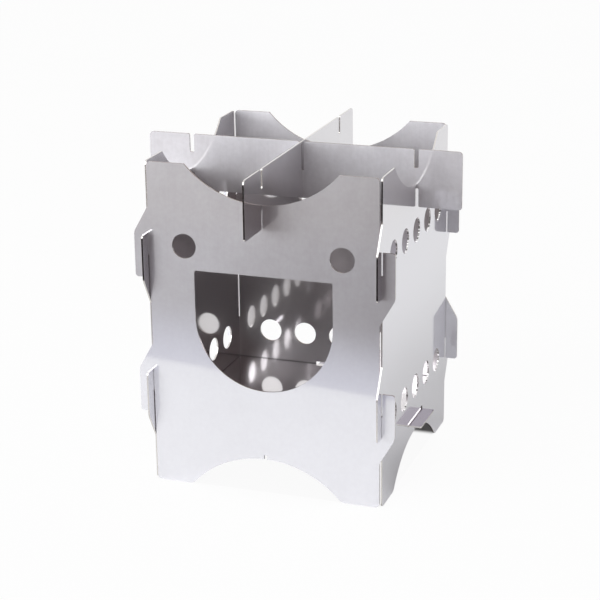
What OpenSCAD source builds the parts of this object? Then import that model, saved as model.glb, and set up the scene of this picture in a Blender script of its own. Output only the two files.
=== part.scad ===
// Flat-pack twig stove, cut from one gauge of stainless sheet.
// Four panels hook together egg-crate fashion at the corners, a floor plate hangs on tabs inside them,
// and two slotted plates cross on top to carry a pot. The seven pieces come apart and pack flat.
// Millimetres. The origin is on the ground at the middle of the stove, +Z is up, and the fuel mouth
// faces -Y. A panel's own drawing is flat: x runs to the right as seen from outside, y is the height.

/* [Sheet] */
// Thickness of the sheet that every piece is cut from
sheet_t = 0.8; // [0.6:0.1:1.5]
// Distance between the outer faces of two facing panels
body_w = 120; // [105:1:150]

/* [Panels] */
// Height of a panel from its feet to its ears
panel_h = 166.4; // [155:0.2:190]
// Radius of a panel's four outer corners
corner_r = 2; // [1:0.5:4]
// Gap between a panel's upright edge, or a hook's slot, and the panel that passes it
edge_gap = 0.35; // [0.2:0.05:0.6]
// Width of the round dip in a panel's top edge
dip_w = 78.4; // [60:0.2:90]
// Depth of the dip at its middle
dip_d = 17.6; // [12:0.2:22]
// Width of the arch between a panel's feet
arch_w = 78.6; // [60:0.2:90]
// Height of the arch at its middle
arch_h = 18.1; // [10:0.1:20]
// Radius that rounds the inner corner of each foot
foot_r = 4; // [1:0.5:6]
// Depth of the small notch in the middle of the dip and of the arch
notch_d = 2.1; // [1:0.1:4]
// Gap on each side of a plate that sits in a notch
notch_gap = 0.4; // [0.2:0.05:0.8]

/* [Hooks] */
// How far a hook reaches past the outer face of the panel it holds
hook_out = 6.6; // [4:0.2:10]
// Length of a hook where it leaves the panel's edge
hook_len = 36.4; // [30:0.2:44]
// Slope of a hook's leaning edge, measured from upright
hook_lean = 30; // [20:1:40]
// Height at which the lower pair of hooks meet
low_joint_z = 48.2; // [42:0.2:60]
// Distance from the lower pair of hooks to the upper pair
joint_pitch = 70.9; // [55:0.1:80]
// Height over which two hooks cross each other
joint_lap = 22.9; // [16:0.1:26]
// Gap left between the bottoms of two crossing slots
joint_gap = 0.3; // [0.1:0.1:0.6]
// Radius of a hook's square corner
hook_tip_r = 1.5; // [0.5:0.1:2.5]
// Radius of the bend from a hook's leaning edge to its outer edge
hook_bend_r = 6; // [3:0.5:12]

/* [Air holes] */
// Diameter of every air hole
air_d = 12.5; // [8:0.5:16]
// Distance between neighbouring holes in a row
air_pitch = 20.2; // [18:0.1:21]
// Holes in a row
air_count = 5; // [3:1:5]
// Height of the lower row's centres above the floor plate
low_air_up = 17.1; // [10:0.1:22]
// Distance of the upper row's centres below the top of the ears
top_air_down = 41.2; // [38:0.1:50]

/* [Mouth] */
// Width of the fuel mouth in the front panel
mouth_w = 71; // [55:1:80]
// Height of the mouth, with its half-round bottom
mouth_h = 59.2; // [45:0.2:70]
// Distance of the mouth's straight top edge below the top of the ears
mouth_down = 53.1; // [50:0.1:62]
// Radius of the mouth's two upper corners
mouth_r = 1.2; // [0.5:0.1:4]

/* [Floor] */
// Height of the floor plate's underside, which is the sill of its slots
floor_z = 24.3; // [21.5:0.1:30]
// Gap between the floor plate's edges and the panels
floor_gap = 0.4; // [0.2:0.1:0.8]
// Width of a tab of the floor plate
tab_w = 25; // [15:1:35]
// How far a tab reaches past the panel's outer face
tab_out = 6.8; // [4:0.2:10]
// Radius of a tab's two corners
tab_r = 1; // [0.5:0.1:2]
// Gap on each side of a tab in its slot
tab_side_gap = 1.4; // [0.4:0.1:2]
// Gap above a tab in its slot
tab_top_gap = 1.3; // [0.4:0.1:2]

/* [Pot supports] */
// Length of a pot support
support_len = 166; // [164:1:190]
// Height of a pot support
support_h = 29.3; // [26:0.1:34]
// Depth of the four slots near a support's ends
end_slot_d = 9.5; // [7:0.1:11]
// Gap on each side of a panel in an end slot
end_slot_gap = 0.8; // [0.3:0.05:1.2]
// Radius of the inner corners of an end slot
end_slot_r = 0.7; // [0.2:0.05:0.8]
// Radius that rounds the mouth of an end slot
end_mouth_r = 0.8; // [0.2:0.1:1.5]
// Gap on each side of the other support in the middle slot
lap_slot_gap = 0.6; // [0.3:0.05:1]
// Radius of the inner corners of the middle slot
lap_slot_r = 0.35; // [0.1:0.05:0.6]
// Radius that rounds the mouth of the middle slot
lap_mouth_r = 1.5; // [0.5:0.1:2.5]
// Gap left between the bottoms of the two middle slots
lap_gap = 0.3; // [0.1:0.1:0.6]
// Radius of a support's two upper corners
support_top_r = 2.3; // [1:0.1:4]
// Radius of a support's two lower corners
support_foot_r = 1.5; // [0.5:0.1:3]

/* [Hidden] */
$fn = 96;

// How far a cut runs past the face that it opens
overrun = 1;
// How far the circle that rounds a foot bites into the arch's circle, so that the two cross
foot_bite = 0.01;

half_w = body_w / 2;
inner_half_w = half_w - sheet_t;
edge_x = inner_half_w - edge_gap;
slot_x = half_w + edge_gap;
tip_x = half_w + hook_out;

dip_r = (dip_w * dip_w / 4 + dip_d * dip_d) / (2 * dip_d);
dip_bottom_z = panel_h - dip_d;
dip_centre_z = dip_bottom_z + dip_r;
arch_r = (arch_w * arch_w / 4 + arch_h * arch_h) / (2 * arch_h);
arch_centre_z = arch_h - arch_r;
notch_w = sheet_t + 2 * notch_gap;
seat_z = dip_bottom_z - notch_d;

low_air_z = floor_z + sheet_t + low_air_up;
top_air_z = panel_h - top_air_down;
mouth_top_z = panel_h - mouth_down;
mouth_centre_z = mouth_top_z - mouth_h + mouth_w / 2;

joint_heights = [low_joint_z, low_joint_z + joint_pitch];
support_z = seat_z - end_slot_d;
lap_slot_d = (support_h + lap_gap) / 2;

// Unit vector along v
function unit(v) = v / norm(v);

// What is cut away to round the corner p between the points a and b with radius r
module tip_waste(a, p, b, r) {
    to_a = unit(a - p);
    to_b = unit(b - p);
    inward = unit(to_a + to_b);
    half_angle = acos(to_a * to_b) / 2;
    reach = r / tan(half_angle);
    difference() {
        polygon([p + reach * to_a, p - overrun * inward, p + reach * to_b]);
        translate(p + inward * r / sin(half_angle)) circle(r);
    }
}

// Rectangle between two heights, centred on the upright axis. A radius of zero leaves its corners square
module upright_plate(w, low, high, low_r, high_r) {
    outline = [[-w / 2, low], [w / 2, low], [w / 2, high], [-w / 2, high]];
    difference() {
        polygon(outline);
        if (low_r > 0) {
            tip_waste(outline[3], outline[0], outline[1], low_r);
            tip_waste(outline[0], outline[1], outline[2], low_r);
        }
        if (high_r > 0) {
            tip_waste(outline[1], outline[2], outline[3], high_r);
            tip_waste(outline[2], outline[3], outline[0], high_r);
        }
    }
}

// Hook on the right edge with its slot open upwards, drawn around the height where two hooks meet
module up_hook() {
    top = joint_lap / 2;
    root = top - hook_len;
    lean_end = root + (tip_x - edge_x) / tan(hook_lean);
    outline = [
        [edge_x - corner_r, root - corner_r / tan(hook_lean)], [tip_x, lean_end], [tip_x, top], [slot_x, top],
        [slot_x, -joint_gap / 2], [edge_x - corner_r, -joint_gap / 2]
    ];
    difference() {
        polygon(outline);
        tip_waste(outline[0], outline[1], outline[2], hook_bend_r);
        tip_waste(outline[1], outline[2], outline[3], hook_tip_r);
    }
}

// What is cut away to round the inner corner of the right foot
module foot_waste() {
    apart = arch_r + foot_r - foot_bite;
    rise = foot_r - arch_centre_z;
    from_centre = [sqrt(apart * apart - rise * rise), rise];
    centre = [from_centre[0], foot_r];
    meets_arch = centre - unit(from_centre) * (foot_r + overrun);
    difference() {
        polygon([centre, [centre[0], -overrun], [meets_arch[0], -overrun], meets_arch]);
        translate(centre) circle(foot_r);
    }
}

// Outline that all four panels share
module panel_outline() {
    difference() {
        union() {
            upright_plate(2 * edge_x, 0, panel_h, corner_r, corner_r);
            for (z = joint_heights) translate([0, z]) {
                up_hook();
                rotate(180) up_hook();
            }
        }
        translate([0, dip_centre_z]) circle(dip_r, $fn = 180);
        translate([-notch_w / 2, seat_z]) square([notch_w, dip_d]);
        translate([0, arch_centre_z]) circle(arch_r, $fn = 180);
        translate([-notch_w / 2, -overrun]) square([notch_w, overrun + arch_h + notch_d]);
        foot_waste();
        mirror([1, 0]) foot_waste();
    }
}

// One row of air holes at height z, whose places are numbered from the left
module air_row(z, places) {
    for (i = places) translate([(i - (air_count - 1) / 2) * air_pitch, z]) circle(d = air_d);
}

// Both full rows of air holes of a side or back panel
module air_holes() {
    air_row(low_air_z, [0:air_count - 1]);
    air_row(top_air_z, [0:air_count - 1]);
}

// Slot that a tab of the floor plate passes through
module tab_slot() {
    slot_w = tab_w + 2 * tab_side_gap;
    translate([-slot_w / 2, floor_z]) square([slot_w, sheet_t + tab_top_gap]);
}

// Fuel mouth: straight at the top and sides, half round at the bottom
module mouth() {
    intersection() {
        translate([0, mouth_centre_z]) circle(d = mouth_w);
        translate([-mouth_w / 2, mouth_centre_z - mouth_w / 2]) square([mouth_w, mouth_w / 2]);
    }
    upright_plate(mouth_w, mouth_centre_z, mouth_top_z, 0, mouth_r);
}

// Stands a flat drawing up as the panel of one side: 0 front, 1 right, 2 back, 3 left
module stand(side) {
    rotate([0, 0, 90 * side])
        translate([0, -inner_half_w, 0])
            rotate([90, 0, 0])
                linear_extrude(sheet_t) children();
}

// Slot of a pot support from its mouth at height zero down to its bottom. Its inner corners are rounded
// with wanted_r, or with half its width where that is less
module slot_cut(w, d, wanted_r, mouth_r) {
    inner_r = min(wanted_r, w / 2);
    translate([-w / 2, inner_r - d]) square([w, d - inner_r + overrun]);
    if (w > 2 * inner_r) translate([inner_r - w / 2, -d]) square([w - 2 * inner_r, d]);
    for (side = [-1, 1]) {
        translate([side * (w / 2 - inner_r), inner_r - d]) circle(inner_r);
        difference() {
            translate([side * (w + mouth_r) / 2, (overrun - mouth_r) / 2])
                square([mouth_r, overrun + mouth_r], center = true);
            translate([side * (w / 2 + mouth_r), -mouth_r]) circle(mouth_r);
        }
    }
}

// Flat drawing of a pot support. The middle slot opens at the top, or at the bottom if flipped
module support_outline(flipped) {
    slot_w = sheet_t + 2 * end_slot_gap;
    difference() {
        upright_plate(support_len, 0, support_h, support_foot_r, support_top_r);
        for (side = [-1, 1]) translate([side * (half_w - sheet_t / 2), 0]) {
            translate([0, support_h]) slot_cut(slot_w, end_slot_d, end_slot_r, end_mouth_r);
            mirror([0, 1]) slot_cut(slot_w, end_slot_d, end_slot_r, end_mouth_r);
        }
        translate([0, flipped ? 0 : support_h]) mirror([0, flipped ? 1 : 0])
            slot_cut(sheet_t + 2 * lap_slot_gap, lap_slot_d, lap_slot_r, lap_mouth_r);
    }
}

// Stands a pot support upright over the notches, across the stove or from front to back
module support(flipped, turn) {
    rotate([0, 0, turn])
        translate([0, sheet_t / 2, support_z])
            rotate([90, 0, 0])
                linear_extrude(sheet_t) support_outline(flipped);
}

// Front wall with the fuel mouth and one air hole on each side above it
module front_panel() {
    color("#b4b3b8") stand(0) difference() {
        panel_outline();
        mouth();
        air_row(top_air_z, [0, air_count - 1]);
    }
}

// Right wall, with the slot that a tab of the floor plate passes through
module right_panel() {
    color("#cfccd4") stand(1) difference() {
        panel_outline();
        air_holes();
        tab_slot();
    }
}

// Back wall
module back_panel() {
    color("#a9a8ad") stand(2) difference() {
        panel_outline();
        air_holes();
        tab_slot();
    }
}

// Left wall
module left_panel() {
    color("#bfbec4") stand(3) difference() {
        panel_outline();
        air_holes();
        tab_slot();
    }
}

// Plain floor that the fire lies on, carried by its tabs in the right, back and left panels
module floor_plate() {
    floor_w = 2 * (inner_half_w - floor_gap);
    color("#9c9ba0") translate([0, 0, floor_z]) linear_extrude(sheet_t) union() {
        square(floor_w, center = true);
        for (side = [1:3]) rotate(90 * side)
            upright_plate(tab_w, -half_w - tab_out, 0, tab_r, 0);
    }
}

// Pot support that goes in first, from side to side, with its middle slot open at the top
module lower_pot_support() {
    color("#c6c5ca") support(false, 0);
}

// Pot support that is dropped over the first, from front to back, with its middle slot open at the bottom
module upper_pot_support() {
    color("#8f8c92") support(true, 90);
}

front_panel();
right_panel();
back_panel();
left_panel();
floor_plate();
lower_pot_support();
upper_pot_support();
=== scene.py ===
"""Flat-pack twig stove of satin stainless sheet, on a white floor under soft studio light."""

import bpy
from mathutils import Matrix, Vector


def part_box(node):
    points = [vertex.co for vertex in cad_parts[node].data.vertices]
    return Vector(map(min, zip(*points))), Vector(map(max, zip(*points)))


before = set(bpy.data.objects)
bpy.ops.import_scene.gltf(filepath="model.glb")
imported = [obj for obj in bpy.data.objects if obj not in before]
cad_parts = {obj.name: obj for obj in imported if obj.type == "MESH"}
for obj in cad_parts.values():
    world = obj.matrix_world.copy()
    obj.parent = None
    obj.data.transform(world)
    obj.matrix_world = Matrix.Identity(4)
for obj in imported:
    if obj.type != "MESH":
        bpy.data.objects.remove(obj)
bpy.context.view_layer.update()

# Lengths are in metres. A pair of numbers is where a change starts and where it is complete.

# The camera, from the photograph's own perspective
SENSOR_W_MM = 36
FOCAL_SHARE = 1790 / 600
CAMERA_AT = Vector((0.28977, -0.82746, 0.37339))
CAMERA_FORWARD = Vector((-0.31571885, 0.89511234, -0.31479437))
CAMERA_UP = Vector((-0.09276146, 0.30105685, 0.94908381))
CLIP_DISTANCES = (0.01, 20)

BLACK = (0.0, 0.0, 0.0)
WHITE = (1.0, 1.0, 1.0)
STEEL = (0.875, 0.872, 0.914)
WARM_STEEL = (0.875, 0.862, 0.888)
INNER_STEEL = (0.77, 0.742, 0.755)
# Painted shade on the floor plate's tabs outside the walls
SHADED_TAB_STEEL = (0.39, 0.355, 0.4)
STAINED_STEEL = (0.3, 0.26, 0.27)
CUT_STEEL = (0.8, 0.77, 0.74)
# Painted highlight on the wavy cuts of the air holes
CUT_HIGHLIGHT_STEEL = (0.97, 0.96, 0.95)
BROWNED_STEEL = (0.34, 0.27, 0.235)
BURNT_STEEL = (0.06, 0.052, 0.05)

# Sizes of the pieces, from their boxes in model.glb
PANEL_LOW, PANEL_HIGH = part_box("front_panel")
PLATE_LOW, PLATE_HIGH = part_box("floor_plate")
SUPPORT_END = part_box("upper_pot_support")[1].y
SHEET = PANEL_HIGH.y - PANEL_LOW.y
WALL_OUTER = -PANEL_LOW.y
WALL_INNER = -PANEL_HIGH.y
HOOK_TIP = PANEL_HIGH.x
PLATE_EDGE = -PLATE_LOW.y

# Places on the stove. Reach is the distance from its middle along X or along Y, whichever is more.
WALL_REACH = (WALL_INNER + SHEET / 4, WALL_OUTER - SHEET / 4)
OUTER_REACH = (WALL_OUTER - SHEET / 4, WALL_OUTER + SHEET / 4)
FIREBOX_TOP_Z = (0.13, 0.16)
WARM_Z = (0.12, 0.15)
STAINED_Z = (0.05, 0.14)
# Burnt edges are on the horns, and in the upper half close to the hooks' tips or to the upper support's ends
BURNT_HOOKS = HOOK_TIP - 2 * SHEET
BURNT_ENDS = SUPPORT_END - 2 * SHEET
BURNT_Z = (0.08, 0.09)
HORNS_Z = (0.1445, 0.1465)
# Heights of the two rows of air holes, and a little more than their radius
AIR_ROWS_Z = (0.0422, 0.1252)
AIR_RADIUS = 0.0066
# The painted shade where the floor plate meets the walls. On the walls it spreads from the height of the
# plate's edge, fainter on the side walls. On the plate it lies along the front and back edges.
WALL_SEAM_Z = PLATE_HIGH.z - 0.75 * SHEET
WALL_SEAM = (SHEET, 0.0013)
WALL_SEAM_SHARES = {"X": 0.1, "Y": 0.4}
PLATE_SEAM = (PLATE_EDGE - SHEET / 2, PLATE_EDGE)
PLATE_SEAM_SHARE = 0.3

# Patterns of noise, with scales per metre. Lines have a fine scale across them and a coarse one along them.
MOTTLE = {"scale": 420.0, "detail": 4.0, "rough": 0.6}
SMUDGES = {"scale": 95.0, "detail": 3.0, "rough": 0.6}
CLOUDS = {"scale": 16.0, "detail": 2.0, "rough": 0.5}
PAPER_TONE = {"scale": 9.0, "detail": 3.0, "rough": 0.5}
ROLLED_LINES = {"fine": 5200.0, "coarse": 60.0, "detail": 3.0}
STREAKS = {"fine": 900.0, "coarse": 50.0, "detail": 3.0}
CUT_LINES = {"fine": 1400.0, "coarse": 60.0, "detail": 2.0}
CUT_WAVES = {"fine": 1000.0, "coarse": 40.0, "detail": 1.0}
LINE_ROUGH = 0.6
# Spans of values: most of those of a noise, the middle ones that make the waves, and all those of a share
NOISE = (0.3, 0.7)
WAVE_NOISE = (0.4, 0.6)
SHARE = (0.0, 1.0)

# Relief, in micrometres
MICROMETRE = 0.000001
ROLLED_DEPTH = 0.45
CUT_LINE_DEPTH = 7.0
CUT_WAVE_DEPTH = 80.0

# How squarely a surface points across its sheet to be a face of it, and sideways or up to be such an edge
FACE = (0.5, 0.9)
SIDEWAYS = (0.95, 0.99)
UPWARD = (0.3, 0.6)

# Sheet metal mixes a sharp mirror with a haze. At a slant all sheets have the same, small share of haze.
MIRROR_ROUGH = (0.05, 0.09)
CUT_ROUGH = 0.14
HAZE_ROUGH = 0.45
INNER_HAZE_ROUGH = 0.33
HAZE_ROUGH_CHANGE = 0.03
SLANT_HAZE = 0.12
SLANT_FACING = (0.1, 0.7)
CUT_HAZE = 0.35
MOTTLE_TONE = (0.985, 0.995)
# The most that each pattern stains the haze, and how much of that is left low on the stove
MOTTLE_STAIN = 0.05
SMUDGE_STAIN = 0.07
STREAK_STAIN = 0.03
LOW_STAIN = 0.35
# How dark the lines in a cut edge and in its browned places are, and how dark the painted shade in a wavy cut
# is
CUT_LINE_TONE = 0.8
BROWN_LINE_TONE = 0.7
WAVE_SHADE_TONE = 0.2

# The material of each sheet, in sheet_steel's words
SHEETS = {
    "front_panel": {"name": "steel_front", "across": "Y", "haze": 0.44, "burnt_horns": True, "browned": True},
    "back_panel": {
        "name": "steel_back", "across": "Y", "haze": 0.82, "inner_haze": 0.48, "haze_rough": 0.6,
        "browned": True,
    },
    "lower_pot_support": {
        "name": "steel_lower_support", "across": "Y", "haze": 0.76, "haze_rough": 0.72, "browned": True,
    },
    "right_panel": {
        "name": "steel_right", "across": "X", "haze": 0.45, "burnt_beyond": BURNT_HOOKS, "burnt_horns": True,
        "ragged": True,
    },
    "left_panel": {"name": "steel_left", "across": "X", "haze": 0.45, "burnt_beyond": BURNT_HOOKS},
    "upper_pot_support": {
        "name": "steel_upper_support", "across": "X", "haze": 0.42, "burnt_beyond": BURNT_ENDS,
    },
    "floor_plate": {"name": "steel_floor", "across": "Z", "haze": 0.42},
}

FLOOR_REACH = 3.0
PAPER_COLOURS = ((0.995, 0.995, 0.995), WHITE)
LIT_PAPER = (0.975, 0.965, 0.955)
# Painted shade on the paper under the stove, for lamp light and for metal
SHADED_PAPER_UNDER = (0.3, 0.27, 0.28)
UNDER_REACH = (WALL_OUTER - 0.0015, WALL_OUTER - 0.0002)
# The shadow by the back right foot
FOOT_X = (0.026, 0.036)
FOOT_Y = (0.037, 0.043)
# The shade that metal meets to the stove's right: where it sets in, where it fades out, and how deep it is
RIGHT_X = (WALL_OUTER - 0.01, WALL_OUTER)
RIGHT_FADE_X = (WALL_OUTER, WALL_OUTER + 0.095)
RIGHT_SHADE = 0.9
# How plainly the camera and metal see the paper, and how much of that the foot's shadow takes from the camera
CAMERA_PLAIN = 0.95
METAL_PLAIN = 0.55
FOOT_SHADE = 0.9

# Only reflections meet the dark board, which covers the floor in front of the stove, and the dark screen that
# stands on it. Both glow with set colours, painted reflections of a dark studio. The board's colour changes
# away from its edge by the stove, and from left to right.
BOARD_Z = 0.001
BOARD_EDGE_Y = -0.201
BOARD_SLOPE = 0.147
BOARD_EDGE = (0.0, 0.12)
BOARD_X = (-0.25, 0.1)
BOARD_EDGE_COLOUR = (0.55, 0.55, 0.62)
BOARD_LEFT_COLOUR = (0.275, 0.25, 0.245)
BOARD_RIGHT_COLOUR = (0.076, 0.055, 0.053)
SCREEN_X = (-0.05, 2.0)
SCREEN_Y = -1.0
SCREEN_TOP_Z = 1.4
SCREEN_COLOUR = (0.066, 0.047, 0.045)

SKY_Z = (0.5, 0.9)
SKY_LOW = (0.55, 0.55, 0.55)
SKY_HIGH = (0.5, 0.5, 0.5)
LAMP_COLOUR = (0.955, 0.98, 1.0)
LAMP_AIM = Vector((0, 0, 0.1))
LAMPS = {
    "low_key": {"place": (-1.164, -1.602, 0.378), "width": 1.78, "height": 0.7, "watts": 16.5},
    "high_key": {"place": (-0.856, -1.545, 1.5), "width": 2.0, "height": 1.6, "watts": 18.0},
}


def darker(colour, tone):
    return tuple(part * tone for part in colour)


class Shader:
    """A material's or world's node tree, filled by calls that return its sockets."""

    def __init__(self, tree):
        self.tree = tree
        tree.nodes.clear()

    def put(self, socket, value):
        """Links another socket, or sets a number or a colour."""
        if isinstance(value, bpy.types.NodeSocket):
            self.tree.links.new(value, socket)
        elif socket.type == "RGBA":
            socket.default_value = (*value, 1.0)
        else:
            socket.default_value = value

    def node(self, kind, inputs=(), **settings):
        made = self.tree.nodes.new(kind)
        for name, value in settings.items():
            setattr(made, name, value)
        for name, value in dict(inputs).items():
            self.put(made.inputs[name], value)
        return made

    def object_place(self):
        return self.node("ShaderNodeTexCoord").outputs["Object"]

    def parts(self, vector):
        """The vector's sockets X, Y and Z."""
        return self.node("ShaderNodeSeparateXYZ", {"Vector": vector}).outputs

    def math(self, operation, *values):
        made = self.node("ShaderNodeMath", operation=operation)
        for socket, value in zip(made.inputs, values):
            self.put(socket, value)
        return made.outputs[0]

    def product(self, first, *others):
        for other in others:
            first = self.math("MULTIPLY", first, other)
        return first

    def reach(self, at):
        """The distance from the middle along X or along Y, whichever is more."""
        return self.math("MAXIMUM", self.math("ABSOLUTE", at["X"]), self.math("ABSOLUTE", at["Y"]))

    def ramp(self, value, span, start=0.0, end=1.0, interpolation="SMOOTHSTEP"):
        """start up to where the span starts, end from where it ends."""
        return self.node("ShaderNodeMapRange", {
            "Value": value, "From Min": span[0], "From Max": span[1], "To Min": start, "To Max": end,
        }, interpolation_type=interpolation).outputs["Result"]

    def mix(self, share, a, b):
        """Colour a at share 0, b at share 1."""
        made = self.node("ShaderNodeMix", data_type="RGBA")
        self.put(made.inputs[0], share)
        self.put(made.inputs[6], a)
        self.put(made.inputs[7], b)
        return made.outputs[2]

    def noise(self, place, scale, detail, rough):
        return self.node("ShaderNodeTexNoise", {
            "Vector": place, "Scale": scale, "Detail": detail, "Roughness": rough,
        }).outputs["Fac"]

    def ray_kinds(self):
        """1 for rays from the camera, and 1 for rays off metal or through glass."""
        rays = self.node("ShaderNodeLightPath").outputs
        return rays["Is Camera Ray"], self.math("MAXIMUM", rays["Is Glossy Ray"], rays["Is Transmission Ray"])

    def glow(self, colour):
        return self.node("ShaderNodeEmission", {"Color": colour, "Strength": 1.0}).outputs[0]

    def background(self, colour):
        return self.node("ShaderNodeBackground", {"Color": colour, "Strength": 1.0}).outputs[0]

    def both(self, share, a, b):
        """Shader a at share 0, b at share 1."""
        made = self.node("ShaderNodeMixShader", {"Fac": share})
        self.put(made.inputs[1], a)
        self.put(made.inputs[2], b)
        return made.outputs[0]

    def show(self, surface, kind="Material"):
        self.node("ShaderNodeOutput" + kind, {"Surface": surface})


class SheetShader(Shader):
    """The steel of one sheet."""

    def __init__(self, tree, across):
        super().__init__(tree)
        self.across = across
        self.grain = "Y" if across == "X" else "X"
        coordinates = self.node("ShaderNodeTexCoord").outputs
        self.place = coordinates["Object"]
        self.at = self.parts(self.place)
        self.from_middle = self.reach(self.at)
        self.normal = self.parts(coordinates["Normal"])
        # 1 on the cut edges, 0 on the two faces
        self.cut = self.ramp(self.math("ABSOLUTE", self.normal[across]), FACE, 1.0, 0.0)
        # 1 on the firebox side of the walls and on the floor plate, below the pot supports
        self.inside = self.product(self.ramp(self.from_middle, WALL_REACH, 1.0, 0.0),
                                   self.ramp(self.at["Z"], FIREBOX_TOP_Z, 1.0, 0.0))
        # A laser leaves lines through the thickness of the cut edge
        self.cut_lines = self.lines(across, **CUT_LINES)
        self.mottle = self.noise(self.place, **MOTTLE)

    def lines(self, axis, fine, coarse, detail):
        """Noise that is drawn out along an axis."""
        scales = [fine, fine, fine]
        scales["XYZ".index(axis)] = coarse
        drawn_out = self.node("ShaderNodeMapping", {"Vector": self.place, "Scale": scales}).outputs[0]
        return self.noise(drawn_out, 1.0, detail, LINE_ROUGH)

    def seam(self):
        """Painted shade: a dark line where the floor plate and the walls meet."""
        if self.across == "Z":
            off_middle = self.math("ABSOLUTE", self.at["Y"])
            return self.product(self.ramp(off_middle, PLATE_SEAM, 0.0, PLATE_SEAM_SHARE),
                                self.math("LESS_THAN", off_middle, WALL_INNER))
        off_plate = self.math("ABSOLUTE", self.math("SUBTRACT", self.at["Z"], WALL_SEAM_Z))
        return self.product(self.ramp(off_plate, WALL_SEAM, WALL_SEAM_SHARES[self.across], 0.0), self.inside)

    def face_colour(self):
        outer = self.mix(self.ramp(self.at["Z"], WARM_Z), STEEL, WARM_STEEL)
        colour = self.mix(self.inside, outer, INNER_STEEL)
        if self.across == "Z":
            # The tabs that come out through the walls get painted shade: a darker steel
            colour = self.mix(self.ramp(self.from_middle, OUTER_REACH), colour, SHADED_TAB_STEEL)
        # Painted shade along the join of floor plate and walls
        colour = self.mix(self.seam(), colour, BLACK)
        return self.mix(self.ramp(self.mottle, NOISE, *MOTTLE_TONE), BLACK, colour)

    def stained(self, colour):
        smudges = self.noise(self.place, **SMUDGES)
        streaks = self.lines("Z" if self.across == "Y" else self.grain, **STREAKS)
        stains = 0.0
        for pattern, most in ((self.mottle, MOTTLE_STAIN), (smudges, SMUDGE_STAIN), (streaks, STREAK_STAIN)):
            stains = self.math("ADD", stains, self.ramp(pattern, NOISE, most, 0.0))
        stains = self.product(stains, self.ramp(self.at["Z"], STAINED_Z, LOW_STAIN, 1.0))
        return self.mix(stains, colour, STAINED_STEEL)

    def cut_lined(self, colour, tone):
        """The colour, with the laser's lines in a darker tone of it."""
        return self.mix(self.cut_lines, darker(colour, tone), colour)

    def burnt(self, beyond, horns):
        """1 on the upright edges that the laser left dark."""
        where = 0.0
        if beyond:
            outermost = self.math("GREATER_THAN", self.from_middle, beyond)
            where = self.math("MAXIMUM", where, self.product(outermost, self.ramp(self.at["Z"], BURNT_Z)))
        if horns:
            where = self.math("MAXIMUM", where, self.ramp(self.at["Z"], HORNS_Z))
        sideways = self.math("ABSOLUTE", self.normal["X" if self.across == "Y" else "Y"])
        return self.product(self.ramp(sideways, SIDEWAYS), where)

    def in_air_holes(self):
        """1 on the cut edges of the air holes."""
        in_rows = 0.0
        for row in AIR_ROWS_Z:
            off_row = self.math("ABSOLUTE", self.math("SUBTRACT", self.at["Z"], row))
            in_rows = self.math("MAXIMUM", in_rows, self.math("LESS_THAN", off_row, AIR_RADIUS))
        return self.product(in_rows, self.cut, self.math("LESS_THAN", self.from_middle, OUTER_REACH[1]))

    def metal(self, colour, rough, bump, tint):
        return self.node("ShaderNodeBsdfPrincipled", {
            "Base Color": colour, "Metallic": 1.0, "Roughness": rough, "Normal": bump, **tint,
        }).outputs[0]

    def haze_share(self, haze, inner_haze):
        facing = self.node("ShaderNodeLayerWeight", {"Blend": 0.5}).outputs["Facing"]
        square_on = haze if inner_haze is None else self.ramp(self.inside, SHARE, haze, inner_haze)
        share = self.ramp(facing, SLANT_FACING, square_on, SLANT_HAZE, interpolation="LINEAR")
        return self.product(share, self.ramp(self.cut, SHARE, 1.0, CUT_HAZE))


def new_material(name):
    material = bpy.data.materials.new(name)
    material.use_nodes = True
    return material


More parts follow.
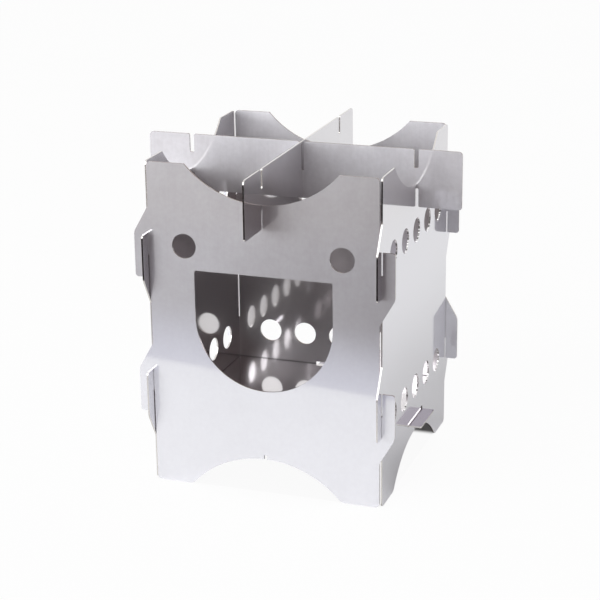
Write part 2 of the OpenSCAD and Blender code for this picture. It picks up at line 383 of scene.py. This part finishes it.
def sheet_steel(name, across, haze, inner_haze=None, haze_rough=HAZE_ROUGH, burnt_beyond=None,
                burnt_horns=False, browned=False, ragged=False):
    """Half-mirror sheet, with fine rolled lines on its faces and the laser's marks on its cut edges.

    across is the axis through the sheet. haze is the share of haze where the sheet is met square on, and
    inner_haze that of its firebox side, if it differs. In the upper half the laser left the upright edges
    dark that are further than burnt_beyond from the middle, and with burnt_horns those of the horns. A
    browned sheet has its upward edges browned, and a ragged one has a wavy cut in its air holes, coloured
    with painted highlights and painted shade.
    """
    material = new_material(name)
    s = SheetShader(material.node_tree, across)
    rolled_lines = s.lines(s.grain, **ROLLED_LINES)
    face_colour = s.face_colour()
    cut_colour = s.cut_lined(CUT_STEEL, CUT_LINE_TONE)
    tint = {}
    if burnt_beyond or burnt_horns:
        burnt = s.burnt(burnt_beyond, burnt_horns)
        cut_colour = s.mix(burnt, cut_colour, BURNT_STEEL)
        tint["Specular Tint"] = s.mix(burnt, WHITE, BLACK)
    if browned:
        brown = s.cut_lined(BROWNED_STEEL, BROWN_LINE_TONE)
        cut_colour = s.mix(s.ramp(s.normal["Z"], UPWARD), cut_colour, brown)

    height = s.math("ADD", s.product(rolled_lines, ROLLED_DEPTH),
                    s.product(s.cut_lines, s.cut, CUT_LINE_DEPTH))
    if ragged:
        in_holes = s.in_air_holes()
        waves = s.ramp(s.lines(across, **CUT_WAVES), WAVE_NOISE)
        height = s.math("ADD", height, s.product(waves, CUT_WAVE_DEPTH, in_holes))
        # The wavy cut's colour swings between painted shade and painted highlight
        wavy_highlight_and_shade = s.mix(waves, darker(CUT_STEEL, WAVE_SHADE_TONE), CUT_HIGHLIGHT_STEEL)
        cut_colour = s.mix(in_holes, cut_colour, wavy_highlight_and_shade)
    bump = s.node("ShaderNodeBump", {"Height": height, "Strength": 1.0, "Distance": MICROMETRE}).outputs[0]

    mirror_rough = s.math("ADD", s.ramp(rolled_lines, NOISE, *MIRROR_ROUGH), s.product(s.cut, CUT_ROUGH))
    mirror = s.metal(s.mix(s.cut, face_colour, cut_colour), mirror_rough, bump, tint)
    clouds = s.noise(s.place, **CLOUDS)
    cloudy_rough = s.math("ADD", s.ramp(s.inside, SHARE, haze_rough, INNER_HAZE_ROUGH),
                          s.ramp(clouds, NOISE, -HAZE_ROUGH_CHANGE, HAZE_ROUGH_CHANGE))
    hazy = s.metal(s.mix(s.cut, s.stained(face_colour), cut_colour), cloudy_rough, bump, tint)
    s.show(s.both(s.haze_share(haze, inner_haze), mirror, hazy))
    return material


def floor_material():
    """White paper that shows nearly plain but for a shadow by the back right foot.

    Metal meets it with painted shade: dark under the stove and shaded to the stove's right.
    """
    material = new_material("white_paper")
    s = Shader(material.node_tree)
    place = s.object_place()
    at = s.parts(place)
    # 1 under the stove, where the paper gets painted shade
    under = s.ramp(s.reach(at), UNDER_REACH, 1.0, 0.0)
    by_a_foot = s.product(s.ramp(at["X"], FOOT_X), s.ramp(at["Y"], FOOT_Y), under)
    to_the_right = s.product(s.ramp(at["X"], RIGHT_X), s.ramp(at["X"], RIGHT_FADE_X, RIGHT_SHADE, 0.0))
    lit = s.node("ShaderNodeBsdfDiffuse", {"Color": s.mix(under, LIT_PAPER, SHADED_PAPER_UNDER)}).outputs[0]
    plain = s.glow(s.mix(s.noise(place, **PAPER_TONE), *PAPER_COLOURS))
    camera, off_metal = s.ray_kinds()
    camera_share = s.math("SUBTRACT", CAMERA_PLAIN, s.product(by_a_foot, FOOT_SHADE))
    metal_share = s.product(s.math("SUBTRACT", 1.0, to_the_right),
                            s.math("SUBTRACT", METAL_PLAIN, s.product(under, METAL_PLAIN)))
    plain_share = s.math("ADD", s.product(camera, camera_share), s.product(off_metal, metal_share))
    s.show(s.both(plain_share, lit, plain))
    return material


def board_material():
    """Glowing dark board, a painted reflection: paler along its edge by the stove and towards the left."""
    material = new_material("dark_board")
    s = Shader(material.node_tree)
    at = s.parts(s.object_place())
    from_edge = s.math("SUBTRACT", s.math("MULTIPLY_ADD", at["X"], BOARD_SLOPE, BOARD_EDGE_Y), at["Y"])
    dark = s.mix(s.ramp(at["X"], BOARD_X), BOARD_LEFT_COLOUR, BOARD_RIGHT_COLOUR)
    s.show(s.glow(s.mix(s.ramp(from_edge, BOARD_EDGE), BOARD_EDGE_COLOUR, dark)))
    return material


def screen_material():
    material = new_material("dark_screen")
    s = Shader(material.node_tree)
    s.show(s.glow(SCREEN_COLOUR))
    return material


def flat_piece(name, corners, material):
    mesh = bpy.data.meshes.new(name)
    mesh.from_pydata(corners, [], [(0, 1, 2, 3)])
    mesh.materials.append(material)
    made = bpy.data.objects.new(name, mesh)
    bpy.context.scene.collection.objects.link(made)
    return made


def studio_floor():
    corners = [(-FLOOR_REACH, -FLOOR_REACH, 0), (FLOOR_REACH, -FLOOR_REACH, 0), (FLOOR_REACH, FLOOR_REACH, 0),
               (-FLOOR_REACH, FLOOR_REACH, 0)]
    flat_piece("floor", corners, floor_material())


def dark_masks():
    """The board that lies in front of the stove, and the screen that stands on it, facing the stove."""
    rise = BOARD_SLOPE * FLOOR_REACH
    board = flat_piece("board", [
        (-FLOOR_REACH, -FLOOR_REACH, BOARD_Z), (FLOOR_REACH, -FLOOR_REACH, BOARD_Z),
        (FLOOR_REACH, BOARD_EDGE_Y + rise, BOARD_Z), (-FLOOR_REACH, BOARD_EDGE_Y - rise, BOARD_Z),
    ], board_material())
    left, right = SCREEN_X
    screen = flat_piece("screen", [
        (left, SCREEN_Y, 0), (right, SCREEN_Y, 0),
        (right, SCREEN_Y, SCREEN_TOP_Z), (left, SCREEN_Y, SCREEN_TOP_Z),
    ], screen_material())
    for mask in (board, screen):
        mask.visible_camera = mask.visible_diffuse = mask.visible_shadow = False


def studio_sky():
    """Grey walls that light the stove, and a plain white behind them for the camera and in the metal."""
    world = bpy.data.worlds.new("studio")
    world.use_nodes = True
    bpy.context.scene.world = world
    s = Shader(world.node_tree)
    way = s.parts(s.node("ShaderNodeTexCoord").outputs["Generated"])
    walls = s.background(s.mix(s.ramp(way["Z"], SKY_Z), SKY_LOW, SKY_HIGH))
    s.show(s.both(s.math("MAXIMUM", *s.ray_kinds()), walls, s.background(WHITE)), "World")


def softbox(name, place, width, height, watts):
    lamp = bpy.data.lights.new(name, "AREA")
    lamp.shape = "RECTANGLE"
    lamp.size, lamp.size_y = width, height
    lamp.energy = watts
    lamp.color = LAMP_COLOUR
    made = bpy.data.objects.new(name, lamp)
    bpy.context.scene.collection.objects.link(made)
    made.location = place
    made.rotation_mode = "QUATERNION"
    made.rotation_quaternion = (LAMP_AIM - Vector(place)).to_track_quat("-Z", "Y")


def photo_camera():
    camera = bpy.data.cameras.new("camera")
    camera.sensor_width = SENSOR_W_MM
    camera.lens = SENSOR_W_MM * FOCAL_SHARE
    camera.clip_start, camera.clip_end = CLIP_DISTANCES
    made = bpy.data.objects.new("camera", camera)
    bpy.context.scene.collection.objects.link(made)
    forward = CAMERA_FORWARD.normalized()
    right = forward.cross(CAMERA_UP).normalized()
    up = right.cross(forward)
    turn = Matrix((right, up, -forward)).transposed().to_4x4()
    made.matrix_world = Matrix.Translation(CAMERA_AT) @ turn
    bpy.context.scene.camera = made


for node, looks in SHEETS.items():
    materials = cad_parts[node].data.materials
    materials.clear()
    materials.append(sheet_steel(**looks))
studio_floor()
dark_masks()
studio_sky()
for lamp_name, lamp in LAMPS.items():
    softbox(lamp_name, **lamp)
photo_camera()

bpy.context.scene.view_settings.view_transform = "Standard"
